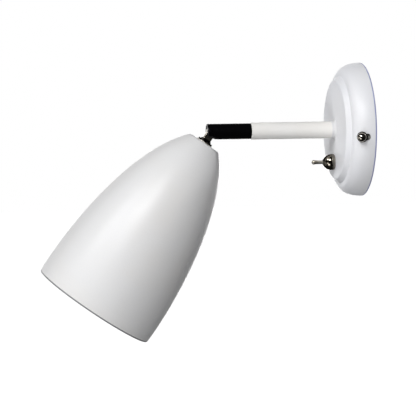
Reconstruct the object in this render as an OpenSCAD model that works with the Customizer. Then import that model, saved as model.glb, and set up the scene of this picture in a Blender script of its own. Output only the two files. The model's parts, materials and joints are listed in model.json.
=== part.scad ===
// Adjustable wall light: a round pressed canopy on a wall bracket, a straight arm, a black
// swivel barrel with a tilt knuckle, and a bullet-shaped shade over a small screw-cap lamp.
// Millimetres. The wall is the plane y = 0, the arm points along -Y and +Z is up.

/* [Canopy] */
// Outer diameter of the canopy at the wall
canopy_d = 100; // [96:1:116]
// Sheet thickness of the canopy
canopy_wall = 1; // [0.8:0.1:1.3]
// Height of the flat front face above the wall
face_h = 20.2; // [19.2:0.2:24]
// Diameter of the raised face, taken where its plane meets the sloped step
face_d = 73.8; // [70:0.2:78]
// Height of the step that lifts the face above the shoulder
face_step = 3.8; // [3.4:0.1:4.2]
// Slope of the step, from the plane of the face
step_slope = 50; // [45:1:60]
// Rounding of the raised face's edge
face_edge_r = 1.9; // [1.6:0.1:2.3]
// Radius of the hollow bend at the foot of the step
foot_bend_r = 0.8; // [0.5:0.1:1.2]
// Flat land between the hollow bend and the domed side
foot_land = 0.2; // [0.2:0.1:1]
// Height over which the side holds its direction from the wall
side_hold = 12; // [10.6:0.2:13]
// Angle by which the side leans in at the wall
side_draft = 0.6; // [0:0.1:2]
// Width over which the side holds its direction on the shoulder
shoulder_hold = 4.2; // [3:0.1:5.4]
// Rounding of the turned back edge
hem_r = 0.7; // [0.3:0.1:0.9]

/* [Wall bracket] */
// Sheet thickness of the bracket
bracket_t = 1.6; // [1.4:0.1:2]
// Width of the bracket strap
bracket_w = 22; // [20:1:26]
// Width of the two bent ears
ear_w = 11; // [10:0.5:12]
// Distance between the two wall screw slots
wall_hole_spacing = 60; // [56:1:64]
// Width of each wall screw slot
wall_slot_w = 5; // [4.5:0.1:5.4]
// End to end length of each wall screw slot
wall_slot_len = 11; // [9:0.5:12]
// Diameter of the opening in the strap for the house cable
cable_hole_d = 14; // [12:0.5:15]

/* [Side fixings] */
// Height of the side studs above the wall
side_h = 10.6; // [10.2:0.1:11]
// Diameter of the side studs
side_stud_d = 4; // [3.5:0.1:4.2]
// Width of the slot in the canopy for each stud
side_slot_w = 5; // [4.8:0.1:5.4]
// Distance from the stud to the slot's wall end
side_slot_run = 6; // [5.4:0.1:6.2]
// Diameter of the cap nut's dome
cap_nut_d = 6.8; // [6.4:0.1:7.4]
// Diameter of the cap nut's flange
cap_flange_d = 8; // [7.8:0.1:8.6]

/* [Arm] */
// Outer diameter of the arm tube
arm_d = 12.7; // [12.4:0.1:13.4]
// Wall of the arm tube
arm_wall = 1.3; // [1.1:0.1:1.4]
// Length of the arm tube in front of the face
arm_len = 63.9; // [55:0.1:90]
// Size of the flare at the arm's foot
arm_flare = 1.4; // [0.8:0.1:2]
// Diameter of the passage through the threaded nipple
nipple_bore = 6.4; // [5.8:0.1:6.8]
// Length of the nipple inside the arm tube
nipple_in = 14; // [10:0.5:18]
// Length of the nipple behind the face
nipple_out = 8; // [7.5:0.1:9]
// Width across flats of the arm's lock nut
arm_nut_af = 15; // [14:0.5:17]
// Thickness of the arm's lock nut
arm_nut_t = 4; // [3.5:0.1:4.5]

/* [Swivel barrel] */
// Diameter of the swivel barrel
barrel_d = 11.8; // [11.6:0.1:12.4]
// Length of the swivel barrel
barrel_len = 33.2; // [31:0.1:40]
// Rounding of the barrel's end edges
barrel_edge = 0.5; // [0.3:0.1:0.7]
// Diameter of the spigot on which the barrel turns
spigot_d = 8; // [7.6:0.1:8.2]
// Length of the spigot inside the barrel
spigot_len = 15; // [13.5:0.1:17]
// Diameter of the lead passage through the spigot
spigot_bore = 4.4; // [4:0.1:4.6]
// Depth of the stop groove in the spigot
stop_groove_depth = 0.8; // [0.6:0.1:0.9]
// Distance from the barrel's inner end to the stop screw
stop_at = 8; // [7:0.1:9]
// Diameter of the stop screw
stop_screw_d = 2.9; // [2.6:0.1:3.2]
// Diameter of the stop screw's tip
stop_tip_d = 2; // [1.6:0.1:2.2]
// Angle of the lug that ends the barrel's turn
stop_lug_angle = 16; // [12:1:18]
// Length of the relief under the barrel's front end
relief_len = 7.5; // [6:0.1:9]
// Radius of the cheeks' rounded lower end about the pivot
cheek_r = 4.4; // [4.3:0.1:4.6]

/* [Tilt knuckle] */
// Tilt of the shade below the arm's direction
tilt = 55.5; // [0:0.5:90]
// Distance from the pivot to the barrel's front end
pivot_inset = 3.9; // [3.6:0.1:4.2]
// Diameter of the pivot pin
pin_d = 2.5; // [2:0.1:2.8]
// Thickness of the knuckle's tongue
tongue_t = 3.6; // [3.4:0.1:4]
// Radius of the knuckle round the pin
knuckle_r = 4.1; // [3.9:0.1:4.2]
// Width of the flat neck
neck_w = 6.4; // [6:0.1:7.2]
// Rounding of the flat neck's long edges
neck_edge_r = 0.7; // [0.4:0.1:1]
// Thickness of each friction washer
friction_washer_t = 0.3; // [0.2:0.05:0.4]
// Distance from the pivot to the top of the round collar
collar_at = 7.1; // [7:0.1:8]
// Diameter of the round collar
collar_d = 8.6; // [8.2:0.1:9]
// Thickness of the round collar
collar_t = 1.1; // [0.8:0.1:1.6]
// Diameter of the hollow threaded stud
stud_d = 7.8; // [7.2:0.1:8]
// Diameter of the lead passage through the stud
stud_bore = 3.8; // [3.2:0.1:4]
// Diameter of the knurled ring
ring_d = 11.6; // [11:0.1:12.6]
// Thickness of the knurled ring
ring_t = 1.3; // [1:0.1:2]
// Number of grooves in the knurled ring
ring_teeth = 30; // [20:1:36]
// Thickness of the toothed washer under the ring
tooth_washer_t = 0.4; // [0.3:0.1:0.6]
// Diameter of the toothed washer under the ring
tooth_washer_d = 13.4; // [12.6:0.1:15]

/* [Shade] */
// Length of the shade along its axis
shade_len = 147; // [140:1:170]
// Sheet thickness of the shade
shade_wall = 1; // [0.8:0.1:1.2]
// Diameter of the shade's mouth
mouth_d = 95.6; // [90:0.2:110]
// Diameter of the flat top at its corner
top_d = 24.8; // [24:0.2:30]
// Rounding of the top's corner
top_corner = 1.6; // [0.8:0.1:2]
// How far the top's flare reaches along the axis
flare_reach = 37.8; // [30:0.2:42]
// How far the top's flare spreads sideways
flare_spread = 34.6; // [30:0.2:38]
// How far the mouth's run-in reaches back along the axis
mouth_reach = 19.9; // [10:0.1:30]
// Extra radius of the shade behind the mouth
mouth_swell = 1.5; // [0:0.1:3]
// Radius of the curled lip round the mouth
lip_r = 0.9; // [0.6:0.1:1.2]

/* [Lampholder] */
// Width across flats of the nut inside the shade
shade_nut_af = 13; // [12:0.5:15]
// Thickness of the nut inside the shade
shade_nut_t = 4; // [3:0.1:5]
// Diameter of the washer inside the shade
shade_washer_d = 16; // [14:0.5:20]
// Thickness of the washer inside the shade
shade_washer_t = 1; // [0.8:0.1:1.4]
// Outer diameter of the lampholder
holder_d = 25; // [24.4:0.2:27]
// Wall of the lampholder
holder_wall = 1.6; // [1.4:0.1:2]
// Length of the lampholder's cap
holder_cap_len = 15; // [14:0.5:18]
// Length of the lampholder's skirt
holder_skirt_len = 28; // [27:0.5:34]
// Inner diameter of the screw shell
shell_bore = 14.2; // [14.1:0.1:14.6]
// Thickness of the screw shell
shell_wall = 0.5; // [0.4:0.05:0.6]

/* [Lamp] */
// Diameter of the lamp's screw cap
lamp_cap_d = 13.8; // [13.6:0.1:13.9]
// Diameter of the lamp's globe
globe_d = 45; // [40:0.5:48]
// Length of the lamp's housing between cap and globe
lamp_neck_len = 18; // [14:0.5:22]

/* [Switch] */
// Distance of the switch below the arm
switch_drop = 24.4; // [22:0.1:26]
// Diameter of the switch's threaded bushing
bushing_d = 6; // [5.8:0.1:6.4]
// Largest diameter of the polished front nut
dress_nut_d = 11.2; // [11:0.1:12]
// Length of the polished front nut
dress_nut_len = 7.1; // [6.8:0.1:8]
// Diameter of the polished front nut's nose
dress_nose_d = 4.9; // [4.8:0.1:5.4]
// Thickness of the washer under the front nut
switch_washer_t = 1.4; // [1:0.1:1.6]
// Diameter of the washer under the front nut
switch_washer_d = 11.8; // [11.6:0.1:12.8]
// Diameter of the lever
lever_d = 2.4; // [2:0.1:2.5]
// Diameter of the lever's tip
lever_tip_d = 3.4; // [2.8:0.1:4]
// Diameter of the lever's pivot ball
lever_ball_d = 3.6; // [3.4:0.1:3.8]
// Distance of the lever's tip from the face
lever_reach = 17.2; // [14:0.1:20]
// Height of the switch body
switch_body_h = 13; // [11:0.5:14]
// Width of the switch body
switch_body_w = 8; // [7:0.5:10]
// Depth of the switch body
switch_body_depth = 9; // [8:0.1:9.6]

/* [Wiring] */
// Diameter of the inner leads
lead_d = 1.5; // [1.2:0.1:1.6]
// Width of the terminal block
block_w = 12; // [11:0.5:13]
// Height of the terminal block
block_h = 22; // [20:0.5:24]
// Depth of the terminal block
block_depth = 9; // [8:0.1:10]

/* [Fits] */
// Radial clearance of fixed joints and threads
fit = 0.05; // [0.03:0.01:0.08]
// Radial clearance of the turning spigot and the pivot pin
run_fit = 0.06; // [0.04:0.01:0.08]
// Clearance between a moving piece and its neighbour
gap = 0.3; // [0.25:0.05:0.4]

/* [Hidden] */

round_steps = 64;
small_steps = 32;

// Canopy
canopy_r = canopy_d / 2;
canopy_inner_face = face_h - canopy_wall;
shoulder_h = face_h - face_step;
face_edge_at = face_d / 2 - face_edge_r * tan(step_slope / 2);
foot_bend_at = face_d / 2 + face_step / tan(step_slope) + foot_bend_r * tan(step_slope / 2);
shoulder_r = foot_bend_at + foot_land;
side_curve = [[hem_r, canopy_r], [hem_r + side_hold, canopy_r - side_hold * tan(side_draft)],
    [shoulder_h, shoulder_r + shoulder_hold], [shoulder_h, shoulder_r]];

// Side fixings: the surface point at the studs' height, and the studs' lean square to it
side_at = bez_rise(side_curve, side_h);
side_r = bez(side_curve, side_at)[1];
side_dir = bez_dir(side_curve, side_at);
side_lean = atan2(-side_dir[1], side_dir[0]);
room_r = bez(side_curve, bez_rise(side_curve, side_h / 2))[1] - canopy_wall;
ear_set = canopy_wall + 2;
ear_out = sqrt(pow(room_r, 2) - pow(ear_w / 2, 2)) - 1.5 * gap;
ear_reach = 3.6;
stud_out = 3.8;
stud_in = 1.5;
nut_seat = gap;
flange_t = 0.8;
cap_body_len = 1.5;

// Arm and barrel, as distances from the wall along the arm
arm_bore = arm_d - 2 * arm_wall;
nipple_d = arm_bore - 2 * fit;
arm_end = face_h + arm_len;
barrel_start = arm_end + 0.1;
barrel_end = barrel_start + barrel_len;
pivot_s = barrel_end - pivot_inset;
spigot_end = barrel_start + spigot_len;
stop_s = barrel_start + stop_at;
slot_w = tongue_t + 2 * friction_washer_t + 0.1;
slot_back = pivot_s - knuckle_r - gap;
slot_top = knuckle_r + 0.2;
groove_floor_r = spigot_d / 2 - stop_groove_depth;

// Head, as distances from the pivot along the shade's axis
ring_at = collar_at + collar_t;
tooth_at = ring_at + ring_t;
shade_at = tooth_at + tooth_washer_t;
washer_at = shade_at + shade_wall;
nut_at = washer_at + shade_washer_t;
holder_at = nut_at + shade_nut_t;
holder_top_t = 3.4;
stud_end = holder_at + holder_top_t;
skirt_at = holder_at + holder_cap_len;
skirt_end = skirt_at + holder_skirt_len;
base_at = skirt_at + 3;
base_t = 5;
shell_at = base_at + base_t;
shell_end = skirt_end - 2;
shell_r = shell_bore / 2 + shell_wall;
skirt_bore_r = shell_r + 1;
contact_top = shell_at + 2.4;
tip_t = 0.9;
insulator_t = 2.4;
cap_at = contact_top + tip_t + insulator_t;
cap_end = skirt_end + 2;
neck_end = cap_end + lamp_neck_len;
globe_r = globe_d / 2;
globe_cut_r = globe_r * 0.86;
globe_at = neck_end + sqrt(globe_r * globe_r - globe_cut_r * globe_cut_r);

// Switch, as distances in front of the face
nose_at = switch_washer_t + dress_nut_len;
lever_pivot = nose_at - 3.2;
lever_swing = 9;
bushing_front = lever_pivot + 0.6;
bushing_bore = lever_ball_d + 2 * run_fit;
ball_top = lever_pivot + lever_ball_d / 2;
back_nut_t = 1.8;
plate_t = 0.8;
plate_at = -canopy_wall - back_nut_t - plate_t;
body_back = plate_at - switch_body_depth;
terminal_len = 3.6;
terminal_row = 4.4;

// Wiring inside the canopy and the holder
block_x = -16;
block_pitch = 7;
block_screw_z = block_pitch / 2;
block_screw_d = 2.2;
terminal_r = 1.5;
terminal_pitch = 4.6;
earth_x = 16;
earth_screw_d = 4;
tag_t = 0.8;
arm_washer_t = 1;
spigot_plug = 12;
corner_x = ear_out - 10;
strap_end_r = room_r - gap;
lead_r = lead_d / 2;
lead_pitch = lead_r + 0.2;
passage_r = 2.5;

// A closed path is read as points of height and radius.
function arc(cx, cy, r, a0, a1, n) =
    [for (i = [0:n]) let (a = a0 + (a1 - a0) * i / n) [cx + r * cos(a), cy + r * sin(a)]];

function bez(p, t) =
    pow(1 - t, 3) * p[0] + 3 * pow(1 - t, 2) * t * p[1] + 3 * (1 - t) * t * t * p[2] + pow(t, 3) * p[3];

function bez_dir(p, t) =
    let (d = 3 * pow(1 - t, 2) * (p[1] - p[0]) + 6 * (1 - t) * t * (p[2] - p[1]) + 3 * t * t * (p[3] - p[2]))
    d / norm(d);

// Place on a climbing curve where its first coordinate reaches h, found by halving.
function bez_rise(p, h, low = 0, high = 1, turns = 24) =
    let (mid = (low + high) / 2)
    turns == 0 ? mid
    : bez(p, mid)[0] < h ? bez_rise(p, h, mid, high, turns - 1)
    : bez_rise(p, h, low, mid, turns - 1);

function unit(v) = v / norm(v);

function reversed(list) = [for (i = [len(list) - 1:-1:0]) list[i]];

// Turns points of [height, radius] about the Z axis.
module revolve(points, steps = round_steps) {
    rotate_extrude($fn = steps)
        polygon([for (p = points) [p[1], p[0]]]);
}

// A ring of inner and outer radius, from one height to another.
module ring(outer_r, inner_r, low, high, steps = round_steps) {
    translate([0, 0, low])
        difference() {
            cylinder(h = high - low, r = outer_r, $fn = steps);
            translate([0, 0, -1])
                cylinder(h = high - low + 2, r = inner_r, $fn = steps);
        }
}

// A hexagonal nut with a round hole.
module hex_nut(af, hole_r, low, high) {
    translate([0, 0, low])
        difference() {
            cylinder(h = high - low, r = af / 2 / cos(30), $fn = 6);
            translate([0, 0, -1])
                cylinder(h = high - low + 2, r = hole_r, $fn = small_steps);
        }
}

// A bar of a width along X and a depth along Y, with rounded long edges.
module rounded_bar(width, depth, r, low, high) {
    translate([0, 0, low])
        linear_extrude(height = high - low)
            polygon([for (c = [0:3]) for (i = [0:5]) let (a = 90 * c + 18 * i)
                [(c == 0 || c == 3 ? 1 : -1) * (width / 2 - r) + r * cos(a),
                 (c < 2 ? 1 : -1) * (depth / 2 - r) + r * sin(a)]]);
}

// Places children so that their +Z runs out from the wall along the arm.
module on_arm(s = 0) {
    translate([0, -s, 0])
        rotate([90, 0, 0])
            children();
}

// Places children so that their +Z runs from the pivot along the shade's axis.
module on_head() {
    translate([0, -pivot_s, 0])
        rotate([90 + tilt, 0, 0])
            children();
}

// Places children on the switch's axis, +Z out from the face.
module on_switch() {
    translate([0, -face_h, -switch_drop])
        rotate([90, 0, 0])
            children();
}

// Places children at a side stud, +Z out of the shoulder; side is 1 for right and -1 for left.
module on_side(side) {
    mirror([side < 0 ? 1 : 0, 0, 0])
        translate([side_r, -side_h, 0])
            rotate([0, 0, -side_lean])
                rotate([0, 90, 0])
                    children();
}

// Slot with round ends along X, cut through a given height.
module slot_cut(width, length, low, high) {
    run = (length - width) / 2;
    translate([-run, 0, low])
        cylinder(h = high - low, r = width / 2, $fn = small_steps);
    translate([run, 0, low])
        cylinder(h = high - low, r = width / 2, $fn = small_steps);
    translate([-run, -width / 2, low])
        cube([2 * run, width, high - low]);
}

// The canopy's side, set in from the outer surface by a thickness.
function canopy_side(inset) =
    [for (i = [0:18]) let (d = bez_dir(side_curve, i / 18))
        bez(side_curve, i / 18) + inset * [d[1], -d[0]]];

// The sloped step round the raised face, set in from the outer surface by a thickness.
function canopy_step(inset) =
    concat([for (i = [0:4]) let (a = step_slope * i / 4, r = foot_bend_r + inset)
        [shoulder_h + foot_bend_r - r * cos(a), foot_bend_at - r * sin(a)]],
    [for (i = [5:-1:0]) let (a = step_slope * i / 5, r = face_edge_r - inset)
        [face_h - face_edge_r + r * cos(a), face_edge_at + r * sin(a)]]);

// Canopy: a pressed shell, open at the wall, with a turned back edge and a raised face.
module canopy() {
    ring_steps = 96;
    hem = [for (i = [0:3]) let (a = 90 * i / 4)
        [hem_r - hem_r * cos(a), canopy_r - hem_r + hem_r * sin(a)]];
    outer = concat(hem, canopy_side(0), canopy_step(0), [[face_h, 0]]);
    inner = concat([[0, canopy_r - canopy_wall - hem_r / 2]], canopy_side(canopy_wall),
        canopy_step(canopy_wall), [[canopy_inner_face, 0]]);
    color("white")
        difference() {
            on_arm()
                revolve(concat(outer, reversed(inner)), ring_steps);
            on_arm(face_h - 3)
                cylinder(h = 5, r = nipple_d / 2 + fit, $fn = small_steps);
            translate([0, -face_h + 3, -switch_drop])
                rotate([90, 0, 0])
                    cylinder(h = 5, r = bushing_d / 2 + fit, $fn = small_steps);
            for (side = [-1, 1])
                on_side(side)
                    rotate([0, 0, 90])
                        translate([(side_slot_run - side_slot_w / 2) / 2, 0, 0])
                            slot_cut(side_slot_w, side_slot_run + side_slot_w / 2, -4, 3);
        }
}

// Wall bracket: a strap with two slotted wall holes, a cable opening and two bent ears.
module wall_bracket() {
    c = cos(side_lean);
    k = sin(side_lean);
    outer_y = (ear_out - side_r + ear_set * c) / k;
    inner_set = ear_set + bracket_t;
    inner_y = (ear_out - bracket_t - side_r + inner_set * c) / k;
    ear = [[ear_out, 0], [ear_out, -side_h + ear_set * k + outer_y * c],
        [side_r - ear_set * c - ear_reach * k, -side_h + ear_set * k - ear_reach * c],
        [side_r - inner_set * c - ear_reach * k, -side_h + inner_set * k - ear_reach * c],
        [ear_out - bracket_t, -side_h + inner_set * k + inner_y * c], [ear_out - bracket_t, 0]];
    color("silver")
        difference() {
            union() {
                translate([-ear_out, -bracket_t, -bracket_w / 2])
                    cube([2 * ear_out, bracket_t, bracket_w]);
                for (side = [0, 1])
                    mirror([side, 0, 0])
                        translate([0, 0, -ear_w / 2])
                            linear_extrude(height = ear_w)
                                polygon(ear);
            }
            translate([0, 1, 0])
                rotate([90, 0, 0])
                    cylinder(h = bracket_t + 2, r = cable_hole_d / 2, $fn = small_steps);
            for (side = [-1, 1])
                translate([side * wall_hole_spacing / 2, 0, 0])
                    rotate([90, 0, 0])
                        slot_cut(wall_slot_w, wall_slot_len, -1, bracket_t + 1);
            for (side = [-1, 1])
                on_side(side)
                    translate([0, 0, -inner_set - 1])
                        cylinder(h = bracket_t + 2, r = side_stud_d / 2 + fit, $fn = small_steps);
            translate([earth_x, 1, 0])
                rotate([90, 0, 0])
                    cylinder(h = bracket_t + 2, r = earth_screw_d / 2 + fit, $fn = small_steps);
            translate([block_x, 1, block_screw_z])
                rotate([90, 0, 0])
                    cylinder(h = bracket_t + 2, r = block_screw_d / 2 + fit, $fn = small_steps);
            difference() {
                translate([0, -bracket_t / 2, 0])
                    cube([2 * ear_out + 4, bracket_t + 1, bracket_w + 4], center = true);
                translate([0, -bracket_t / 2, 0])
                    cube([2 * corner_x, bracket_t + 2, bracket_w + 6], center = true);
                rotate([90, 0, 0])
                    cylinder(h = 4 * bracket_t, r = strap_end_r, center = true, $fn = 96);
            }
        }
}

// Side stud: a headless screw through the ear and the canopy's slot.
module side_stud(side) {
    inner = ear_set + bracket_t + stud_in;
    color("silver")
        on_side(side)
            translate([0, 0, -inner])
                cylinder(h = inner + stud_out, r = side_stud_d / 2, $fn = small_steps);
}

module side_stud_right() {
    side_stud(1);
}

module side_stud_left() {
    side_stud(-1);
}

// Cap nut: a flange under a short body with a round dome.
module cap_nut(side) {
    flange_r = cap_flange_d / 2;
    dome_r = cap_nut_d / 2;
    flange_end = nut_seat + flange_t;
    body_end = flange_end + cap_body_len;
    hole_r = side_stud_d / 2 + fit;
    color("gainsboro")
        on_side(side)
            revolve(concat([[nut_seat, hole_r], [nut_seat, flange_r - 0.2], [nut_seat + 0.2, flange_r]],
                [[flange_end - 0.2, flange_r], [flange_end, flange_r - 0.2], [flange_end, dome_r]],
                arc(body_end, 0, dome_r, 90, 0, 14),
                [[stud_out + 0.2, 0], [stud_out + 0.2, hole_r]]), small_steps * 2);
}

module cap_nut_right() {
    cap_nut(1);
}

module cap_nut_left() {
    cap_nut(-1);
}

// Arm: a straight tube with a small flare where it meets the canopy's face.
module arm_tube() {
    outer_r = arm_d / 2;
    lip = 0.3;
    flare = [for (i = [0:6]) let (a = 90 * i / 6)
        [face_h + lip + arm_flare * (1 - cos(a)), outer_r + arm_flare * (1 - sin(a))]];
    color("white")
        on_arm()
            revolve(concat([[face_h, arm_bore / 2], [face_h, outer_r + arm_flare]], flare,
                [[arm_end - 0.2, outer_r], [arm_end, outer_r - 0.2], [arm_end, arm_bore / 2]]));
}

// Nipple: a hollow threaded tube that holds the arm to the canopy's face.
module arm_nipple() {
    color("goldenrod")
        on_arm()
            ring(nipple_d / 2, nipple_bore / 2, face_h - nipple_out, face_h + nipple_in);
}

// Washer between the canopy's face and the lock nut.
module arm_washer() {
    color("silver")
        on_arm()
            ring(arm_nut_af * 0.58, nipple_d / 2 + fit, canopy_inner_face - arm_washer_t, canopy_inner_face);
}

module arm_lock_nut() {
    nut_high = canopy_inner_face - arm_washer_t;
    color("silver")
        on_arm()
            hex_nut(arm_nut_af, nipple_d / 2 + fit, nut_high - arm_nut_t, nut_high);
}

// Spigot: a plug in the arm's end that carries the barrel, with a stop groove and its lug.
module swivel_spigot() {
    spigot_r = spigot_d / 2;
    groove_w = stop_tip_d + gap;
    groove_at = stop_s - groove_w / 2;
    lug = spigot_d * tan(stop_lug_angle / 2);
    color("goldenrod") {
        on_arm()
            revolve([[arm_end - spigot_plug, spigot_bore / 2], [arm_end - spigot_plug, nipple_d / 2],
                [arm_end, nipple_d / 2], [arm_end, spigot_r], [groove_at, spigot_r],
                [groove_at, groove_floor_r], [groove_at + groove_w, groove_floor_r],
                [groove_at + groove_w, spigot_r], [spigot_end - 0.4, spigot_r], [spigot_end, spigot_r - 0.4],
                [spigot_end, spigot_bore / 2]]);
        on_arm(groove_at)
            intersection() {
                ring(spigot_r, groove_floor_r - 0.2, 0, groove_w);
                linear_extrude(height = groove_w)
                    polygon([[0, 0], [-lug, spigot_d], [lug, spigot_d]]);
            }
    }
}

// Barrel: turns on the spigot; its front end is slotted to the front and below for the knuckle.
module swivel_barrel() {
    r = barrel_d / 2;
    relief_from = relief_len - pivot_inset;
    relief_meets = 360 + atan2(-r, relief_from) - acos(cheek_r / norm([r, relief_from]));
    color("black")
        difference() {
            on_arm()
                revolve(concat([[barrel_start, 0]],
                    arc(barrel_start + barrel_edge, r - barrel_edge, barrel_edge, 180, 90, 4),
                    arc(barrel_end - barrel_edge, r - barrel_edge, barrel_edge, 90, 0, 4),
                    [[barrel_end, 0]]));
            on_arm(barrel_start - 1)
                cylinder(h = spigot_len + 1.4, r = spigot_d / 2 + run_fit, $fn = round_steps);
            on_arm(barrel_start)
                cylinder(h = slot_back - barrel_start + 0.5, r = passage_r, $fn = small_steps);
            translate([-slot_w / 2, -barrel_end - 1, -r - 1])
                cube([slot_w, barrel_end + 1 - slot_back, r + 1 + slot_top]);
            translate([-r - 1, -pivot_s, 0])
                rotate([0, 90, 0])
                    cylinder(h = barrel_d + 2, r = pin_d / 2 + fit, $fn = small_steps);
            translate([0, -stop_s, -r - 1])
                cylinder(h = r + 1, r = stop_screw_d / 2 + fit, $fn = small_steps);
            translate([-r - 1, 0, 0])
                rotate([90, 0, 90])
                    linear_extrude(height = barrel_d + 2)
                        polygon(concat([[-barrel_end + relief_len, -r - 0.01]],
                            arc(-pivot_s, 0, cheek_r, relief_meets, 200, 8),
                            [[-barrel_end - 1, -cheek_r * sin(20)], [-barrel_end - 1, -r - 1],
                             [-barrel_end + relief_len, -r - 1]]));
        }
}

// Stop screw: a socket screw whose tip runs in the spigot's groove.
module stop_screw() {
    tip_at = groove_floor_r + 0.15;
    body_at = spigot_d / 2 + gap;
    head_at = barrel_d / 2 - 0.4;
    color("dimgray")
        translate([0, -stop_s, 0])
            rotate([180, 0, 0])
                difference() {
                    union() {
                        translate([0, 0, tip_at])
                            cylinder(h = body_at - tip_at, r = stop_tip_d / 2, $fn = small_steps);
                        translate([0, 0, body_at])
                            cylinder(h = head_at - body_at, r = stop_screw_d / 2, $fn = small_steps);
                    }
                    translate([0, 0, head_at - 0.9])
                        cylinder(h = 2, r = stop_screw_d * 0.26, $fn = 6);
                }
}

module pivot_pin() {
    color("dimgray")
        translate([-barrel_d / 2 + 0.4, -pivot_s, 0])
            rotate([0, 90, 0])
                cylinder(h = barrel_d - 0.8, r = pin_d / 2, $fn = small_steps);
}

// Friction washers: a thin disc on each side of the tongue.
module friction_washers() {
    color("silver")
        for (side = [-1, 1])
            translate([side * (tongue_t + friction_washer_t) / 2, -pivot_s, 0])
                rotate([0, 90, 0])
                    ring(knuckle_r - 0.4, pin_d / 2 + run_fit, -friction_washer_t / 2, friction_washer_t / 2,
                        small_steps);
}

// Knuckle: a flat tongue on the pivot, a neck, a round collar and a hollow threaded stud.
module tilt_knuckle() {
    neck_bore = lead_pitch + lead_r + 0.15;
    edge = 0.4;
    color("dimgray")
        on_head()
            difference() {
                union() {
                    rotate([0, 90, 0])
                        revolve(concat([[-tongue_t / 2, 0]],
                            arc(edge - tongue_t / 2, knuckle_r - edge, edge, 180, 90, 4),
                            arc(tongue_t / 2 - edge, knuckle_r - edge, edge, 90, 0, 4),
                            [[tongue_t / 2, 0]]));
                    rounded_bar(tongue_t, neck_w, neck_edge_r, 0, collar_at + 0.1);
                    revolve([[collar_at, 0], [collar_at, collar_d / 2 - 0.3], [collar_at + 0.3, collar_d / 2],
                        [ring_at, collar_d / 2], [ring_at, 0]]);
                    translate([0, 0, ring_at - 0.1])
                        cylinder(h = stud_end - ring_at + 0.1, r = stud_d / 2, $fn = round_steps);
                }
                rotate([0, 90, 0])
                    cylinder(h = tongue_t + 2, r = pin_d / 2 + run_fit, center = true, $fn = small_steps);
                translate([0, 0, ring_at])
                    cylinder(h = stud_end, r = stud_bore / 2, $fn = small_steps);
                translate([-lead_r - 0.15, -neck_bore, 2.6])
                    cube([lead_d + 0.3, 2 * neck_bore, ring_at]);
                translate([-lead_r - 0.15, -knuckle_r - 1, -1])
                    cube([lead_d + 0.3, knuckle_r + 1 - pin_d / 2 - 0.6, 5]);
            }
}

// Knurled ring: clamps the shade against the knuckle's stud.
module knurled_ring() {
    groove = 0.6;
    color("silver")
        on_head()
            difference() {
                ring(ring_d / 2, stud_d / 2 + fit, ring_at, tooth_at);
                for (i = [0:ring_teeth - 1])
                    rotate([0, 0, 360 * i / ring_teeth])
                        translate([ring_d / 2, 0, ring_at - 1])
                            rotate([0, 0, 45])
                                translate([-groove / 2, -groove / 2, 0])
                                    cube([groove, groove, ring_t + 2]);
            }
}

// Toothed washer: grips the shade's top.
module toothed_washer() {
    teeth = 16;
    color("dimgray")
        on_head()
            difference() {
                ring(tooth_washer_d / 2, stud_d / 2 + fit, tooth_at, shade_at);
                for (i = [0:teeth - 1])
                    rotate([0, 0, 360 * i / teeth])
                        translate([tooth_washer_d / 2 - 0.9, -0.4, tooth_at - 1])
                            cube([2, 0.8, tooth_washer_t + 2]);
            }
}

// Shade: a spun bullet shape with a small flat top and a curled lip round the mouth.
module shade() {
    n = 40;
    top_r = top_d / 2;
    mouth_r = mouth_d / 2;
    lip_at = shade_len - lip_r;
    flare_angle = atan2(flare_spread, flare_reach);
    corner_r = top_corner * tan((90 + flare_angle) / 2);
    curve = [[0, top_r], [flare_reach, top_r + flare_spread],
        [lip_at - mouth_reach, mouth_r + mouth_swell], [lip_at, mouth_r]];
    lip_turn = asin((lip_r - shade_wall) / lip_r);
    outer = concat(arc(corner_r, top_r - top_corner, corner_r, 180, 90 + flare_angle, 6),
        [for (i = [1:n - 1]) bez(curve, i / n)],
        arc(lip_at, mouth_r - lip_r, lip_r, 90, lip_turn - 180, 12));
    inner = concat([for (i = [n - 2:-1:1]) let (d = bez_dir(curve, i / n))
            bez(curve, i / n) + shade_wall * [d[1], -d[0]]],
        arc(corner_r, top_r - top_corner, corner_r - shade_wall, 90 + flare_angle, 180, 6),
        [[shade_wall, stud_d / 2 + 0.2], [0, stud_d / 2 + 0.2]]);
    color("white")
        on_head()
            translate([0, 0, shade_at])
                revolve(concat(outer, inner), 96);
}

module shade_washer() {
    color("silver")
        on_head()
            ring(shade_washer_d / 2, stud_d / 2 + fit, washer_at, nut_at);
}

module shade_nut() {
    color("silver")
        on_head()
            hex_nut(shade_nut_af, stud_d / 2 + fit, nut_at, holder_at);
}

// Lampholder cap: screwed on the stud, with a domed top.
module holder_cap() {
    r = holder_d / 2;
    bend = 4;
    inside = holder_at + holder_top_t;
    color("ivory")
        on_head()
            revolve(concat([[holder_at, stud_d / 2 + fit]],
                arc(holder_at + bend, r - bend, bend, 180, 90, 8),
                [[skirt_at, r], [skirt_at, r - holder_wall], [inside + 1, r - holder_wall],
                 [inside, r - holder_wall - 1], [inside, stud_d / 2 + fit]]));
}

// Lampholder skirt: a tube screwed to the cap, open below for the lamp.
module holder_skirt() {
    r = holder_d / 2;
    color("ivory")
        on_head()
            revolve([[skirt_at, skirt_bore_r], [skirt_at, r], [skirt_at + 1.5, r], [skirt_at + 2, r - 0.5],
                [skirt_end - 0.5, r - 0.9], [skirt_end, r - 1.4], [skirt_end, skirt_bore_r]]);
}

// Lampholder base: the disc that carries the screw shell, the centre contact and the terminals.
module holder_base() {
    color("white")
        on_head()
            difference() {
                translate([0, 0, base_at])
                    cylinder(h = base_t, r = skirt_bore_r - fit, $fn = round_steps);
                for (side = [-1, 1])
                    translate([0, side * terminal_pitch, base_at - 1])
                        cylinder(h = 3.5, r = terminal_r, $fn = small_steps);
            }
}

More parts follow.
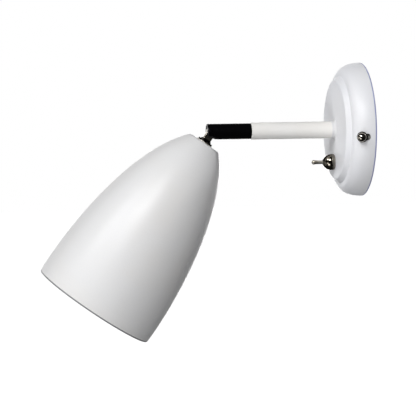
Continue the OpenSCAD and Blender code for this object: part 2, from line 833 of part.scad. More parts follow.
module holder_screws() {
    color("goldenrod")
        on_head()
            for (side = [-1, 1])
                translate([0, side * terminal_pitch, base_at + 2.5 - 3.2])
                    difference() {
                        cylinder(h = 3.2, r = terminal_r - 0.2, $fn = small_steps);
                        translate([-terminal_r, -0.25, -1])
                            cube([2 * terminal_r, 0.5, 1.6]);
                    }
}

// Screw shell: a thin cup that takes the lamp's screw cap.
module screw_shell() {
    color("gold")
        on_head()
            revolve([[shell_at, 3.4], [shell_at, shell_r], [shell_end, shell_r], [shell_end, shell_bore / 2],
                [shell_at + shell_wall, shell_bore / 2], [shell_at + shell_wall, 3.4]]);
}

// Centre contact: a folded spring strip.
module centre_contact() {
    t = 0.5;
    w = 4;
    color("gold")
        on_head() {
            translate([-w / 2, -2.6, shell_at])
                cube([w, 5.2, t]);
            translate([-w / 2, -2.6, shell_at])
                cube([w, t, contact_top - shell_at]);
            translate([-w / 2, -2.6, contact_top - t])
                cube([w, 5, t]);
        }
}

// Lamp: a round-bulb lamp with a small screw cap.
module lamp_globe() {
    start = 180 - asin(globe_cut_r / globe_r);
    color("whitesmoke")
        on_head()
            revolve(concat([[neck_end, 0]], arc(globe_at, 0, globe_r, start, 0, 24)));
}

module lamp_housing() {
    cap_r = lamp_cap_d / 2;
    waist = cap_end + lamp_neck_len * 0.35;
    color("white")
        on_head()
            revolve([[cap_end, 0], [cap_end, cap_r + 0.8], [waist, cap_r + 3.4], [neck_end, globe_cut_r],
                [neck_end, 0]]);
}

module lamp_cap() {
    color("silver")
        on_head()
            translate([0, 0, cap_at])
                cylinder(h = cap_end - cap_at, r = lamp_cap_d / 2, $fn = round_steps);
}

module lamp_insulator() {
    color("black")
        on_head()
            revolve([[cap_at - insulator_t, 0], [cap_at - insulator_t, 2.8], [cap_at, lamp_cap_d / 2 - 0.6],
                [cap_at, 0]], small_steps);
}

module lamp_tip() {
    color("goldenrod")
        on_head()
            translate([0, 0, contact_top])
                cylinder(h = tip_t, r = 2.2, $fn = small_steps);
}

// Switch body: a small closed box behind the canopy's face.
module switch_body() {
    color("darkred")
        on_switch()
            translate([-switch_body_w / 2, -switch_body_h / 2, body_back])
                cube([switch_body_w, switch_body_h, switch_body_depth]);
}

// Switch bushing: a plate over the body and a threaded tube through the face.
module switch_bushing() {
    color("silver")
        on_switch()
            difference() {
                union() {
                    translate([-switch_body_w / 2, -switch_body_h / 2, plate_at])
                        cube([switch_body_w, switch_body_h, plate_t]);
                    translate([0, 0, plate_at])
                        cylinder(h = bushing_front - plate_at, r = bushing_d / 2, $fn = round_steps);
                }
                translate([0, 0, plate_at + plate_t])
                    cylinder(h = bushing_front - plate_at, r = bushing_bore / 2, $fn = round_steps);
            }
}

module switch_back_nut() {
    color("silver")
        on_switch()
            hex_nut(bushing_d + 2, bushing_d / 2 + fit, -canopy_wall - back_nut_t, -canopy_wall);
}

module switch_washer() {
    color("darkgray")
        on_switch()
            ring(switch_washer_d / 2, bushing_d / 2 + fit, 0, switch_washer_t);
}

// Front nut: a polished dome over the bushing, with a plain band at its foot, bored for the lever.
module switch_front_nut() {
    base_r = dress_nut_d / 2;
    nose_r = dress_nose_d / 2;
    thread_r = bushing_d / 2 + fit;
    hole_r = lever_d / 2 + 0.3 + (nose_at - lever_pivot) * tan(lever_swing);
    foot = switch_washer_t;
    curve = [[foot + 1.2, base_r - 0.1], [foot + 0.39 * dress_nut_len, base_r - 0.2],
        [foot + 0.63 * dress_nut_len, nose_r + 1.5], [nose_at - 0.3, nose_r]];
    color("gainsboro")
        on_switch()
            revolve(concat([[foot, thread_r], [foot, base_r - 0.2], [foot + 0.2, base_r],
                [foot + 0.85, base_r]], [for (i = [0:12]) bez(curve, i / 12)],
                [[nose_at, nose_r - 0.25], [nose_at, hole_r], [ball_top + 0.1, hole_r - 0.3],
                 [ball_top + 0.1, lever_ball_d / 2 + 0.2], [bushing_front + 0.1, lever_ball_d / 2 + 0.2],
                 [bushing_front + 0.1, thread_r]]));
}

module switch_terminals() {
    color("gold")
        on_switch()
            for (row = [-1, 0, 1])
                translate([-1, row * terminal_row - 0.3, body_back - terminal_len])
                    cube([2, 0.6, terminal_len]);
}

// Lever: a ball in the bushing, a slim shaft and a slightly swollen tip.
module switch_lever() {
    ball_r = lever_ball_d / 2;
    shaft_r = lever_d / 2;
    tip_r = lever_tip_d / 2;
    tip_at = lever_reach - tip_r;
    color("gainsboro")
        on_switch()
            revolve(concat([[lever_pivot - 3.6, 0], [lever_pivot - 3.6, shaft_r * 0.7]],
                arc(lever_pivot, 0, ball_r, 155, 40, 12), [[ball_top, shaft_r]],
                arc(tip_at, 0, tip_r, 120, 0, 12)));
}

// Terminal block on the bracket, with screw wells in its front.
module terminal_block() {
    color("whitesmoke")
        difference() {
            translate([block_x - block_w / 2, -bracket_t - block_depth, -block_h / 2])
                cube([block_w, block_depth, block_h]);
            for (row = [-1, 0, 1])
                translate([block_x, -bracket_t - block_depth + 4, row * block_pitch])
                    rotate([90, 0, 0])
                        cylinder(h = 6, r = terminal_r, $fn = small_steps);
            translate([block_x, 1, block_screw_z])
                rotate([90, 0, 0])
                    cylinder(h = 20, r = block_screw_d / 2 + fit, $fn = small_steps);
            translate([block_x, -bracket_t - block_depth + 3, block_screw_z])
                rotate([90, 0, 0])
                    cylinder(h = 6, r = block_screw_d / 2 + 0.6, $fn = small_steps);
        }
}

module terminal_screws() {
    color("goldenrod")
        for (row = [-1, 0, 1])
            translate([block_x, -bracket_t - block_depth + 4, row * block_pitch])
                rotate([90, 0, 0])
                    difference() {
                        cylinder(h = 3, r = terminal_r - 0.2, $fn = small_steps);
                        translate([-terminal_r, -0.25, 2.2])
                            cube([2 * terminal_r, 0.5, 2]);
                    }
}

module block_screw() {
    color("silver")
        translate([block_x, 0, block_screw_z])
            rotate([90, 0, 0]) {
                translate([0, 0, 0.2])
                    cylinder(h = bracket_t + block_depth - 3 - 0.2, r = block_screw_d / 2, $fn = small_steps);
                translate([0, 0, bracket_t + block_depth - 3])
                    cylinder(h = 1.2, r = block_screw_d / 2 + 0.4, $fn = small_steps);
            }
}

// Earth screw and its ring tag on the strap.
module earth_screw() {
    color("goldenrod")
        translate([earth_x, 0, 0])
            rotate([90, 0, 0]) {
                translate([0, 0, 0.2])
                    cylinder(h = bracket_t + tag_t, r = earth_screw_d / 2, $fn = small_steps);
                difference() {
                    translate([0, 0, bracket_t + tag_t])
                        cylinder(h = 2.4, r = earth_screw_d * 0.95, $fn = small_steps);
                    translate([-earth_screw_d, -0.4, bracket_t + tag_t + 1.4])
                        cube([2 * earth_screw_d, 0.8, 2]);
                }
            }
}

module earth_tag() {
    color("silver")
        translate([earth_x, 0, 0])
            rotate([90, 0, 0])
                difference() {
                    union() {
                        translate([0, 0, bracket_t])
                            cylinder(h = tag_t, r = earth_screw_d * 1.1, $fn = small_steps);
                        translate([-1.6, 0, bracket_t])
                            cube([3.2, earth_screw_d * 2.1, tag_t]);
                        translate([0, earth_screw_d * 2.1, bracket_t + 1.6])
                            rotate([-90, 0, 0])
                                cylinder(h = 4, r = 1.6, $fn = small_steps);
                    }
                    translate([0, 0, bracket_t - 1])
                        cylinder(h = 3, r = earth_screw_d / 2 + fit, $fn = small_steps);
                }
}

// A lead: a tube with a ring of corners at each point of its route.
module lead(route) {
    sides = 8;
    last = len(route) - 1;
    corners = [for (i = [0:last])
        let (t = unit(route[min(i + 1, last)] - route[max(i - 1, 0)]),
            u = unit(cross(t, [0.3, 0.2, 1])),
            v = cross(t, u))
        for (k = [0:sides - 1]) route[i] + lead_r * (cos(360 * k / sides) * u + sin(360 * k / sides) * v)];
    walls = [for (i = [0:last - 1], k = [0:sides - 1])
        let (a = i * sides + k, b = i * sides + (k + 1) % sides)
        [a, a + sides, b + sides, b]];
    polyhedron(corners, concat([[for (k = [0:sides - 1]) k]], walls,
        [[for (k = [sides - 1:-1:0]) last * sides + k]]));
}

// Leads from the terminal block through the nipple and the arm to the spigot's end.
module arm_leads() {
    from_x = block_x + block_w / 2;
    depth = bracket_t + block_depth / 2;
    turn = face_h - nipple_out - 1;
    color("saddlebrown")
        for (side = [-1, 1])
            lead([[from_x, -depth, side * block_pitch / 2], [from_x + 2, -depth, side * block_pitch / 2],
                [-2.5, -turn + 1.5, side * 1.6], [0, -turn - 1, side * lead_pitch],
                [0, -spigot_end + 0.5, side * lead_pitch]]);
}

// Leads from the terminal block to the switch.
module switch_leads() {
    bottom = -block_h / 2;
    depth = bracket_t + block_depth / 2;
    end_y = -(face_h + body_back - terminal_len);
    color("royalblue")
        for (i = [0, 1]) {
            x = block_x - 2 + 4 * i;
            z = -switch_drop - terminal_row * (1 - i);
            lead([[x, -depth, bottom], [x, -depth, bottom - 2], [-1.2, end_y + 2.2, z], [0, end_y + 1.5, z],
                [0, end_y, z]]);
        }
}

module barrel_leads() {
    color("saddlebrown")
        for (side = [-1, 1])
            lead([[0, -spigot_end - 0.5, side * lead_pitch], [0, -slot_back, side * lead_pitch]]);
}

// Leads from the neck through the stud to the lampholder's terminals.
module head_leads() {
    lead_end = base_at - 0.7;
    color("saddlebrown")
        on_head()
            for (side = [-1, 1])
                lead([[0, side * lead_pitch, 4.5], [0, side * lead_pitch, stud_end + 1],
                    [0, side * terminal_pitch, lead_end - 3], [0, side * terminal_pitch, lead_end]]);
}

canopy();
wall_bracket();
side_stud_right();
side_stud_left();
cap_nut_right();
cap_nut_left();
arm_tube();
arm_nipple();
arm_washer();
arm_lock_nut();
swivel_spigot();
switch_body();
switch_bushing();
switch_back_nut();
switch_washer();
switch_front_nut();
switch_terminals();
switch_lever();
terminal_block();
terminal_screws();
block_screw();
earth_screw();
earth_tag();
arm_leads();
switch_leads();
swivel_barrel();
stop_screw();
pivot_pin();
friction_washers();
barrel_leads();
tilt_knuckle();
knurled_ring();
toothed_washer();
shade();
shade_washer();
shade_nut();
holder_cap();
holder_skirt();
holder_base();
screw_shell();
centre_contact();
holder_screws();
head_leads();
lamp_globe();
lamp_housing();
lamp_cap();
lamp_insulator();
lamp_tip();
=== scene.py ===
import json
import math

import bmesh
import bpy
from mathutils import Matrix, Vector

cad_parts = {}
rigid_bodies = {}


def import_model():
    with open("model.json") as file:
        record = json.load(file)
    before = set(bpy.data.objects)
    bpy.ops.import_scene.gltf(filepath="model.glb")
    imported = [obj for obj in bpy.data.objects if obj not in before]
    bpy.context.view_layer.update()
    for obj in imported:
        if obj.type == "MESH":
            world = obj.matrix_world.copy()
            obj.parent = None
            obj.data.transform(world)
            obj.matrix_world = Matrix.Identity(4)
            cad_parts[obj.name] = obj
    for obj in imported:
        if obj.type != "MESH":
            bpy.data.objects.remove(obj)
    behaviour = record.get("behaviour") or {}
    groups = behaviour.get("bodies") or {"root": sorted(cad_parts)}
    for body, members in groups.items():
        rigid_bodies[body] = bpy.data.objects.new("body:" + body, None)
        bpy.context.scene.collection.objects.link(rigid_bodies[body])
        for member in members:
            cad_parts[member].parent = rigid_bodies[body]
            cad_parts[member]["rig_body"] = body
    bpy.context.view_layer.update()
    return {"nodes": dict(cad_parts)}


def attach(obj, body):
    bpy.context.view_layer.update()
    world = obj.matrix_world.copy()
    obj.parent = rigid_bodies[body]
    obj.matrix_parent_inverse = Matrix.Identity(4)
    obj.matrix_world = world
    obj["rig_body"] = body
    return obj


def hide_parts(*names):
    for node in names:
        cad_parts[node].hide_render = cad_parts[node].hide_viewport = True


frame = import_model()
NODES = frame["nodes"]

# The part's own directions and places at rest, in metres
TILT = math.radians(55.5)
PIVOT = Vector((0.0, -0.1135, 0.0))
HEAD_AXIS = Vector((0.0, -math.cos(TILT), -math.sin(TILT)))
HEAD_SIDE = HEAD_AXIS.cross(Vector((1.0, 0.0, 0.0))).normalized()
ARM_AXIS = Vector((0.0, -1.0, 0.0))
SIDE_AXIS = Vector((1.0, 0.0, 0.0))
SWITCH_AT = Vector((0.0, -0.0202, -0.0244))
SIDE_STUD_AT = (0.0, -0.0106, 0.0)
MM = 0.001

# Where one finish, or painted shade, gives way to another: none of it at the first measure, all of it at the
# second
INSIDE_CANOPY = (0.0, -0.004)
CANOPY_EDGE = (-0.0013, -0.0009)
ARM_ROOT_SHADE = (0.0236, 0.0226)
RIM_SHADE_LINE = (0.1556, 0.156)
NUT_FOOT = (0.0223, 0.0221)
KNUCKLE_COLLAR = (0.0066, 0.007)


class Look:
    """One node-based material, with a Principled shader and its texture coordinates."""

    def __init__(self, name, color, roughness, metallic=0.0, **sockets):
        self.material = bpy.data.materials.new(name)
        self.material.use_nodes = True
        self.tree = self.material.node_tree
        self.tree.nodes.clear()
        self.shader = self.node("ShaderNodeBsdfPrincipled")
        out = self.node("ShaderNodeOutputMaterial")
        self.link(self.shader.outputs["BSDF"], out.inputs["Surface"])
        self.shader.inputs["Base Color"].default_value = (*color, 1.0)
        self.shader.inputs["Roughness"].default_value = roughness
        self.shader.inputs["Metallic"].default_value = metallic
        for key, value in sockets.items():
            self.shader.inputs[key.replace("_", " ")].default_value = value
        self.where = self.node("ShaderNodeTexCoord").outputs["Object"]
        self.height = None

    def node(self, kind, **settings):
        n = self.tree.nodes.new(kind)
        for key, value in settings.items():
            setattr(n, key, value)
        return n

    def link(self, a, b):
        self.tree.links.new(a, b)

    def math(self, operation, a, b=None, c=None, clamp=False):
        n = self.node("ShaderNodeMath", operation=operation, use_clamp=clamp)
        for i, v in enumerate((a, b, c)):
            if v is None:
                continue
            if isinstance(v, (int, float)):
                n.inputs[i].default_value = v
            else:
                self.link(v, n.inputs[i])
        return n.outputs[0]

    def dot(self, vector, origin=(0, 0, 0)):
        """Distance of the surface point from origin along a unit vector."""
        shift = self.node("ShaderNodeVectorMath", operation="SUBTRACT")
        self.link(self.where, shift.inputs[0])
        shift.inputs[1].default_value = origin
        d = self.node("ShaderNodeVectorMath", operation="DOT_PRODUCT")
        self.link(shift.outputs[0], d.inputs[0])
        d.inputs[1].default_value = vector
        return d.outputs["Value"]

    def noise(self, scale, detail=3.0, stretch=None, axis=None):
        """Noise with `scale` cells a metre, drawn out along an axis if stretch is below 1."""
        n = self.node("ShaderNodeTexNoise")
        n.inputs["Scale"].default_value = scale
        n.inputs["Detail"].default_value = detail
        source = self.where
        if stretch is not None:
            turn = self.node("ShaderNodeMapping")
            turn.inputs["Rotation"].default_value = axis.rotation_difference(Vector((0, 0, 1))).to_euler()
            turn.inputs["Scale"].default_value = stretch
            self.link(source, turn.inputs["Vector"])
            source = turn.outputs[0]
        self.link(source, n.inputs["Vector"])
        return n.outputs["Fac"]

    def ramp(self, value, low, high, to_low=0.0, to_high=1.0):
        m = self.node("ShaderNodeMapRange")
        self.link(value, m.inputs["Value"])
        for key, v in zip(("From Min", "From Max", "To Min", "To Max"), (low, high, to_low, to_high)):
            m.inputs[key].default_value = v
        return m.outputs["Result"]

    def tint(self, factor, color, strength=1.0):
        """Mixes the base colour towards another by a factor."""
        mix = self.node("ShaderNodeMix", data_type="RGBA")
        factor = self.math("MULTIPLY", factor, strength, clamp=True)
        self.link(factor, mix.inputs["Factor"])
        base = self.shader.inputs["Base Color"]
        if base.is_linked:
            self.link(base.links[0].from_socket, mix.inputs["A"])
        else:
            mix.inputs["A"].default_value = base.default_value
        mix.inputs["B"].default_value = (*color, 1.0)
        self.link(mix.outputs["Result"], base)

    def rough(self, factor, low, high):
        self.link(self.ramp(factor, 0.3, 0.7, low, high), self.shader.inputs["Roughness"])

    def bump(self, value, depth, strength=1.0):
        """Adds a height of `depth` metres to the surface."""
        b = self.node("ShaderNodeBump")
        b.inputs["Strength"].default_value = strength
        b.inputs["Distance"].default_value = depth
        self.link(value, b.inputs["Height"])
        if self.height is not None:
            self.link(self.height, b.inputs["Normal"])
        self.height = b.outputs["Normal"]
        self.link(self.height, self.shader.inputs["Normal"])

    def specks(self, scale, size, color, strength):
        """Small separate spots: dust, pits or flecks."""
        v = self.node("ShaderNodeTexVoronoi")
        v.inputs["Scale"].default_value = scale
        self.link(self.where, v.inputs["Vector"])
        self.tint(self.ramp(v.outputs["Distance"], size, size * 0.4), color, strength)

    def thread(self, origin, axis, pitch, depth):
        """A screw thread about an axis, as a height that climbs one pitch a turn."""
        side = axis.orthogonal().normalized()
        other = axis.cross(side)
        angle = self.math("ARCTAN2", self.dot(other, origin), self.dot(side, origin))
        turns = self.math("MULTIPLY_ADD", self.dot(axis, origin), 1.0 / pitch,
                          self.math("MULTIPLY", angle, 0.5 / math.pi))
        wave = self.math("PINGPONG", turns, 0.5)
        self.bump(self.math("MULTIPLY", wave, 2.0), depth)


def scaled(color, factors):
    """A colour times one factor, or times one factor a channel."""
    if isinstance(factors, (int, float)):
        factors = (factors,) * 3
    return tuple(c * f for c, f in zip(color, factors))


def enamel(name, color, roughness, peel=1.0):
    """Baked enamel: faint orange peel, a slow drift of tone and a few specks of dust."""
    look = Look(name, color, roughness, Specular_IOR_Level=0.5)
    look.tint(look.ramp(look.noise(22.0, 2.0), 0.42, 0.72), scaled(color, (0.985, 0.965, 0.93)), 0.5)
    fine = look.noise(1500.0, 2.0)
    look.tint(look.ramp(fine, 0.5, 0.8), scaled(color, 0.9), 0.35)
    look.specks(95.0, 0.028, scaled(color, 0.55), 0.35)
    look.rough(look.noise(60.0), roughness - 0.03, roughness + 0.04)
    look.bump(look.noise(620.0, 2.0), 0.00002 * peel, 0.5)
    look.bump(fine, 0.000006 * peel, 0.5)
    return look


def gloss_black(name):
    look = Look(name, (0.0015, 0.0015, 0.002), 0.16, Specular_IOR_Level=0.3)
    look.tint(look.ramp(look.noise(900.0, 4.0), 0.62, 0.8), (0.012, 0.012, 0.014), 0.5)
    look.specks(260.0, 0.05, (0.09, 0.085, 0.08), 0.4)
    look.rough(look.noise(320.0), 0.12, 0.22)
    look.bump(look.noise(500.0, 2.0), 0.00002, 0.4)
    return look


def plated(name, axis, color, roughness=0.1):
    """Polished plate with faint turning lines round an axis and a little tarnish."""
    look = Look(name, color, roughness, 1.0)
    lines = look.noise(900.0, 4.0, (0.08, 0.08, 5.0), axis)
    look.tint(look.ramp(look.noise(240.0, 4.0), 0.5, 0.8), scaled(color, (0.72, 0.66, 0.56)), 0.7)
    look.specks(700.0, 0.08, (0.3, 0.26, 0.2), 0.5)
    look.rough(lines, roughness - 0.05, roughness + 0.1)
    look.bump(lines, 0.000012, 0.5)
    return look


def zinc(name, axis):
    """Bright zinc plate: a cloudy passivated sheen with small crystals."""
    look = Look(name, (0.56, 0.57, 0.58), 0.34, 0.7)
    crystals = look.node("ShaderNodeTexVoronoi")
    crystals.inputs["Scale"].default_value = 420.0
    look.link(look.where, crystals.inputs["Vector"])
    look.tint(look.ramp(crystals.outputs["Distance"], 0.1, 0.7), (0.44, 0.46, 0.49), 0.6)
    look.tint(look.ramp(look.noise(70.0), 0.5, 0.75), (0.6, 0.55, 0.4), 0.45)
    look.tint(look.ramp(look.noise(110.0, 5.0), 0.6, 0.78), (0.36, 0.35, 0.34), 0.5)
    lines = look.noise(1400.0, 3.0, (0.1, 0.1, 4.0), axis)
    look.rough(lines, 0.26, 0.44)
    look.bump(lines, 0.00002, 0.6)
    return look


def brass(name, axis):
    look = Look(name, (0.72, 0.5, 0.22), 0.26, 1.0)
    look.tint(look.ramp(look.noise(260.0, 5.0), 0.48, 0.75), (0.38, 0.24, 0.1), 0.6)
    look.specks(600.0, 0.12, (0.2, 0.12, 0.05), 0.5)
    lines = look.noise(1600.0, 3.0, (0.12, 0.12, 4.0), axis)
    look.rough(lines, 0.18, 0.36)
    look.bump(lines, 0.000015, 0.6)
    return look


def moulding(name, color, roughness, flow):
    """Moulded plastic: fine spark texture, faint flow marks and a slightly worn sheen."""
    look = Look(name, color, roughness, Specular_IOR_Level=0.45)
    look.tint(look.ramp(look.noise(130.0, 4.0, (1.0, 1.0, 0.2), HEAD_AXIS), 0.45, 0.75), flow, 0.55)
    look.specks(420.0, 0.06, tuple(c * 0.6 + 0.04 for c in color), 0.4)
    look.rough(look.noise(260.0, 4.0), roughness - 0.05, roughness + 0.1)
    look.bump(look.noise(2200.0, 2.0), 0.000018, 0.6)
    return look


def lead_sleeve(name, split, split_origin, first, second):
    """Two sleeves told apart by the side of a plane that they lie on."""
    look = Look(name, first, 0.42, Specular_IOR_Level=0.4)
    look.tint(look.ramp(look.dot(split, split_origin), -0.00005, 0.00005), second)
    look.tint(look.ramp(look.noise(500.0, 3.0), 0.5, 0.8), scaled(first, 0.6), 0.3)
    look.rough(look.noise(300.0), 0.34, 0.5)
    look.bump(look.noise(900.0, 3.0), 0.00003, 0.5)
    return look


def opal(name):
    look = Look(name, (0.86, 0.85, 0.81), 0.28, Subsurface_Weight=0.35, Subsurface_Scale=0.004)
    look.shader.inputs["Subsurface Radius"].default_value = (1.0, 0.9, 0.75)
    look.tint(look.ramp(look.noise(60.0, 3.0), 0.45, 0.75), (0.8, 0.78, 0.72), 0.5)
    look.specks(300.0, 0.04, (0.6, 0.58, 0.52), 0.5)
    look.rough(look.noise(140.0), 0.22, 0.34)
    look.bump(look.noise(700.0, 2.0), 0.00001, 0.5)
    return look


def dress(look, *names):
    for name in names:
        slots = NODES[name].data.materials
        slots.clear()
        slots.append(look.material)


canopy_look = enamel("canopy_enamel", (0.835, 0.845, 0.88), 0.39, 0.5)
# The side turned to the wall is bare primer, its dark grey also standing in for the shade inside the canopy
inward = canopy_look.node("ShaderNodeNewGeometry")
facing = canopy_look.node("ShaderNodeVectorMath", operation="DOT_PRODUCT")
canopy_look.link(inward.outputs["True Normal"], facing.inputs[0])
canopy_look.link(canopy_look.where, facing.inputs[1])
canopy_look.tint(canopy_look.ramp(facing.outputs["Value"], *INSIDE_CANOPY), (0.36, 0.365, 0.37))
# A thin blue-grey line is tinted along the back edge
canopy_look.tint(canopy_look.ramp(canopy_look.dot((0, 1, 0)), *CANOPY_EDGE), (0.31, 0.34, 0.58))
dress(canopy_look, "canopy")
arm_look = enamel("arm_enamel", (0.89, 0.88, 0.86), 0.32)
# Painted shade: the flare at the arm's root, in the corner against the canopy, is darker
arm_look.tint(arm_look.ramp(arm_look.dot(ARM_AXIS), *ARM_ROOT_SHADE), (0.73, 0.73, 0.74))
dress(arm_look, "arm_tube")
shade_look = enamel("shade_enamel", (0.78, 0.78, 0.785), 0.36, 1.3)
# Painted shade: the rolled rim's turned edge shows as a thin dark line, for the shade on its underside
shade_look.tint(shade_look.ramp(shade_look.dot(HEAD_AXIS, PIVOT), *RIM_SHADE_LINE), (0.2, 0.2, 0.21))
dress(shade_look, "shade")
dress(gloss_black("barrel_enamel"), "swivel_barrel")
dress(gloss_black("black_plate"), "pivot_pin")
dress(plated("cap_nut_plate", SIDE_AXIS, (0.4, 0.37, 0.32), 0.07), "cap_nut_right", "cap_nut_left")
dress(plated("dull_plate", ARM_AXIS, (0.6, 0.57, 0.5), 0.34), "switch_lever", "switch_bushing")
dress(plated("foot_plate", ARM_AXIS, (0.3, 0.28, 0.25), 0.4), "switch_washer")
nut_plate = plated("nut_plate", ARM_AXIS, (0.27, 0.245, 0.205), 0.06)
# Brushed band at the foot of the polished dome
band = nut_plate.ramp(nut_plate.dot(ARM_AXIS), *NUT_FOOT)
nut_plate.tint(band, (0.22, 0.2, 0.17))
nut_plate.link(nut_plate.ramp(band, 0.0, 1.0, 0.07, 0.42), nut_plate.shader.inputs["Roughness"])
dress(nut_plate, "switch_front_nut")
knuckle_plate = plated("knuckle_plate", HEAD_AXIS, (0.74, 0.69, 0.6))
# The collar under the neck is drawn near black, as the ring is
collar = knuckle_plate.ramp(knuckle_plate.dot(HEAD_AXIS, PIVOT), *KNUCKLE_COLLAR)
knuckle_plate.tint(collar, (0.012, 0.011, 0.01))
dress(knuckle_plate, "tilt_knuckle")
dress(plated("ring_plate", HEAD_AXIS, (0.07, 0.066, 0.06), 0.16), "knurled_ring")
dress(plated("washer_plate", HEAD_AXIS, (0.78, 0.75, 0.7), 0.42), "toothed_washer")
dress(zinc("strap_zinc", SIDE_AXIS), "wall_bracket", "block_screw", "stop_screw", "friction_washers")
dress(zinc("washer_zinc", ARM_AXIS), "arm_washer", "arm_lock_nut", "switch_back_nut")
dress(zinc("head_zinc", HEAD_AXIS), "shade_washer", "shade_nut")
nipple = zinc("nipple_zinc", ARM_AXIS)
nipple.thread((0, 0, 0), ARM_AXIS, 0.001, 0.0003)
dress(nipple, "arm_nipple")
stud = zinc("stud_zinc", SIDE_AXIS)
stud.thread(SIDE_STUD_AT, SIDE_AXIS, 0.0007, 0.0002)
dress(stud, "side_stud_right", "side_stud_left")
dress(brass("turned_brass", ARM_AXIS), "swivel_spigot", "earth_screw", "earth_tag", "terminal_screws",
      "switch_terminals")
dress(brass("holder_brass", HEAD_AXIS), "screw_shell", "centre_contact", "holder_screws", "lamp_tip")
cap = plated("cap_nickel", HEAD_AXIS, (0.66, 0.66, 0.65), 0.22)
cap.thread(PIVOT, HEAD_AXIS, 0.0028, 0.0008)
dress(cap, "lamp_cap")
dress(moulding("dark_moulding", (0.03, 0.027, 0.025), 0.3, (0.07, 0.05, 0.04)), "switch_body", "holder_cap",
      "holder_skirt", "lamp_insulator")
dress(moulding("white_moulding", (0.74, 0.73, 0.69), 0.42, (0.66, 0.64, 0.58)), "terminal_block",
      "holder_base", "lamp_housing")
dress(opal("opal_globe"), "lamp_globe")
BROWN, BLUE = (0.16, 0.055, 0.02), (0.02, 0.08, 0.3)
dress(lead_sleeve("arm_sleeves", Vector((0, 0, 1)), (0, 0, 0), BLUE, BROWN), "arm_leads", "barrel_leads")
dress(lead_sleeve("switch_sleeves", Vector((1, 0, 0)), (-0.016, 0, 0), BROWN, BROWN), "switch_leads")
dress(lead_sleeve("head_sleeves", HEAD_SIDE, PIVOT, BLUE, BROWN), "head_leads")


def stand_in(name, form, sharpest=20.0):
    """Makes a piece of a bmesh in a CAD node's place, shaded as one surface up to its sharp edges."""
    for face in form.faces:
        face.smooth = True
    for edge in form.edges:
        edge.smooth = edge.is_manifold and edge.calc_face_angle() < math.radians(sharpest)
    mesh = bpy.data.meshes.new(name + "_skin")
    form.to_mesh(mesh)
    form.free()
    for material in NODES[name].data.materials:
        mesh.materials.append(material)
    piece = bpy.data.objects.new(mesh.name, mesh)
    bpy.context.scene.collection.objects.link(piece)
    # Keeps flat faces flat beside narrow rounded ones
    piece.modifiers.new("weighted_normals", "WEIGHTED_NORMAL").keep_sharp = True
    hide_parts(name)
    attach(piece, NODES[name]["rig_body"])


def smooth_skin(name, across=1.0):
    """The node's own faces, without the bands that its single faces shade in, scaled by `across` along X."""
    form = bmesh.new()
    form.from_mesh(NODES[name].data)
    bmesh.ops.remove_doubles(form, verts=form.verts, dist=1e-6)
    for vert in form.verts:
        vert.co.x *= across
    stand_in(name, form)


def turned(name, origin, axis, outline, steps=128):
    """A turned piece: an outline of (along, radius) in millimetres swept round an axis."""
    form = bmesh.new()
    side = axis.orthogonal().normalized()
    other = axis.cross(side)
    rings = []
    angles = [2.0 * math.pi * i / steps for i in range(steps)]
    spokes = [side * math.cos(a) + other * math.sin(a) for a in angles]
    for along, radius in outline:
        rings.append([form.verts.new(origin + MM * (axis * along + spoke * radius)) for spoke in spokes])
    for ring, following in zip(rings, rings[1:] + rings[:1]):
        for i in range(steps):
            j = (i + 1) % steps
            form.faces.new((ring[i], ring[j], following[j], following[i]))
    bmesh.ops.recalc_face_normals(form, faces=form.faces)
    stand_in(name, form)


def bezier(p, count):
    """Points of a cubic curve given by its four control points."""
    for i in range(count + 1):
        t = i / count
        weights = ((1 - t) ** 3, 3 * t * (1 - t) ** 2, 3 * t * t * (1 - t), t ** 3)
        yield tuple(sum(w * q[k] for w, q in zip(weights, p)) for k in (0, 1))


for name in ("shade", "canopy", "arm_tube", "cap_nut_right", "cap_nut_left", "switch_lever", "lamp_globe",
             "lamp_housing", "holder_cap", "holder_skirt"):
    smooth_skin(name)
# A hair thinner, so that its cheeks turn clear of the washers that they touch
smooth_skin("tilt_knuckle", 0.993)
# The switch's dress nut is a full dome on a brushed foot, and its washer is as wide as the foot. Both
# outlines are in millimetres from the canopy's face, with the bore last.
DOME = bezier(((2.2, 6.1), (4.7, 6.05), (6.9, 4.7), (8.3, 2.5)), 24)
NUT_OUTLINE = [(1.42, 3.2), (1.42, 5.9), (1.55, 6.1), *DOME,
               (8.45, 2.35), (8.5, 2.15), (6.0, 1.9), (6.0, 3.2)]
WASHER_OUTLINE = [(0.0, 3.2), (0.0, 5.8), (0.15, 5.95), (1.25, 5.95), (1.4, 5.8), (1.4, 3.2)]
turned("switch_front_nut", SWITCH_AT, ARM_AXIS, NUT_OUTLINE)
turned("switch_washer", SWITCH_AT, ARM_AXIS, WASHER_OUTLINE)

# Floor, well below the part, which hangs on a wall
FLOOR_Z, FLOOR_HALF = -1.3, 8.0
floor_mesh = bpy.data.meshes.new("floor")
floor_mesh.from_pydata([(x, y, FLOOR_Z) for x, y in ((-FLOOR_HALF, -FLOOR_HALF), (FLOOR_HALF, -FLOOR_HALF),
                                                     (FLOOR_HALF, FLOOR_HALF), (-FLOOR_HALF, FLOOR_HALF))],
                       [], [(0, 1, 2, 3)])
floor = bpy.data.objects.new("floor", floor_mesh)
bpy.context.scene.collection.objects.link(floor)
ground = Look("floor_white", (0.82, 0.82, 0.82), 0.8)
ground.tint(ground.ramp(ground.noise(9.0), 0.4, 0.7), (0.78, 0.78, 0.79), 0.4)
rays = ground.node("ShaderNodeLightPath").outputs
